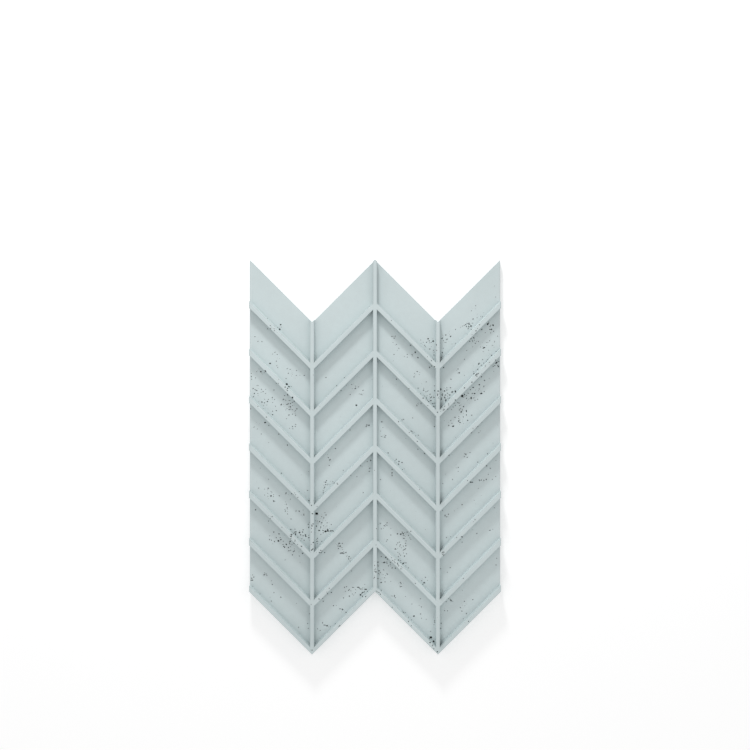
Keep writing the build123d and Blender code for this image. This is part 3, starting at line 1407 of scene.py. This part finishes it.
def seen_rays(tree):
    """1 for the rays in which the background shows: from the camera, mirrored or through glass."""
    rays = tree.node("ShaderNodeLightPath").outputs
    mirrored = tree.math("MAXIMUM", rays["Is Glossy Ray"], rays["Is Transmission Ray"])
    return tree.math("MAXIMUM", rays["Is Camera Ray"], mirrored)


def make_floor():
    half = FLOOR_HALF
    mesh = bpy.data.meshes.new("floor")
    corners = [(-half, -half, 0), (half, -half, 0), (half, half, 0), (-half, half, 0)]
    mesh.from_pydata(corners, [], [(0, 1, 2, 3)])
    floor = bpy.data.objects.new("floor", mesh)
    scene.collection.objects.link(floor)
    material = bpy.data.materials.new("floor")
    tree = Tree(material)
    shader = tree.nodes["Principled BSDF"]
    shader.inputs["Base Color"].default_value = FLOOR_COLOUR
    shader.inputs["Roughness"].default_value = 0.9
    shader.inputs["Specular IOR Level"].default_value = 0.0
    shader.inputs["Emission Color"].default_value = WHITE
    lift = tree.math("MULTIPLY", seen_rays(tree), FLOOR_LIFT)
    tree.put(shader.inputs["Emission Strength"], lift)
    mesh.materials.append(material)


make_floor()


# The light: a pale room all round, and a lamp far past the panel's top that rakes across the ribs

# The room's strength all round, and what is added from the front, from both sides and from the foot
ROOM = 0.306
ROOM_FRONT = 0.52
ROOM_SIDES = 0.403
ROOM_FOOT = 0.166

LAMP_SIZE = 0.35
LAMP_SHARE = 0.246  # of the light that a white field would need
LAMP_AIM = Vector((0, 0.357, SLAB))
LAMP_WAY = Vector((-0.30, 1.98, 56.5 * RIB))  # from there to the lamp


def make_world():
    world = bpy.data.worlds.new("room")
    scene.world = world
    tree = Tree(world)
    background = tree.nodes["Background"]
    background.inputs["Color"].default_value = WHITE
    x, y, z = tree.split(tree.node("ShaderNodeTexCoord").outputs["Generated"])
    front = tree.math("MAXIMUM", z, 0.0)
    strength = tree.math("MULTIPLY", tree.math("POWER", front, 2.0), ROOM_FRONT)
    sides = tree.math("MULTIPLY", tree.math("ABSOLUTE", x), ROOM_SIDES)
    foot = tree.math("MULTIPLY", tree.math("MINIMUM", y, 0.0), -ROOM_FOOT)
    for more in (sides, foot, ROOM):
        strength = tree.math("ADD", strength, more)
    choice = tree.node("ShaderNodeMix", data_type="FLOAT")
    tree.put(choice.inputs["Factor"], seen_rays(tree))
    tree.put(choice.inputs["A"], strength)
    choice.inputs["B"].default_value = 1.0
    tree.put(background.inputs["Strength"], choice.outputs["Result"])


def make_lamp():
    data = bpy.data.lights.new("lamp", "AREA")
    data.shape = "DISK"
    data.size = LAMP_SIZE
    distance = LAMP_WAY.length
    data.energy = LAMP_SHARE * math.pi**2 * distance**2 / (LAMP_WAY.z / distance)
    lamp = bpy.data.objects.new("lamp", data)
    lamp.location = LAMP_AIM + LAMP_WAY
    lamp.rotation_mode = "QUATERNION"
    lamp.rotation_quaternion = (-LAMP_WAY).to_track_quat("-Z", "Y")
    scene.collection.objects.link(lamp)


make_world()
make_lamp()


# The camera, which looks straight down on the panel

SENSOR = 36


def make_camera():
    data = bpy.data.cameras.new("camera")
    camera = bpy.data.objects.new("camera", data)
    scene.collection.objects.link(camera)
    camera.location = EYE
    data.sensor_width = SENSOR
    data.lens = SENSOR * CAMERA_DISTANCE / (PICTURE * PIXEL)
    scene.camera = camera


make_camera()
scene.view_settings.view_transform = "Standard"
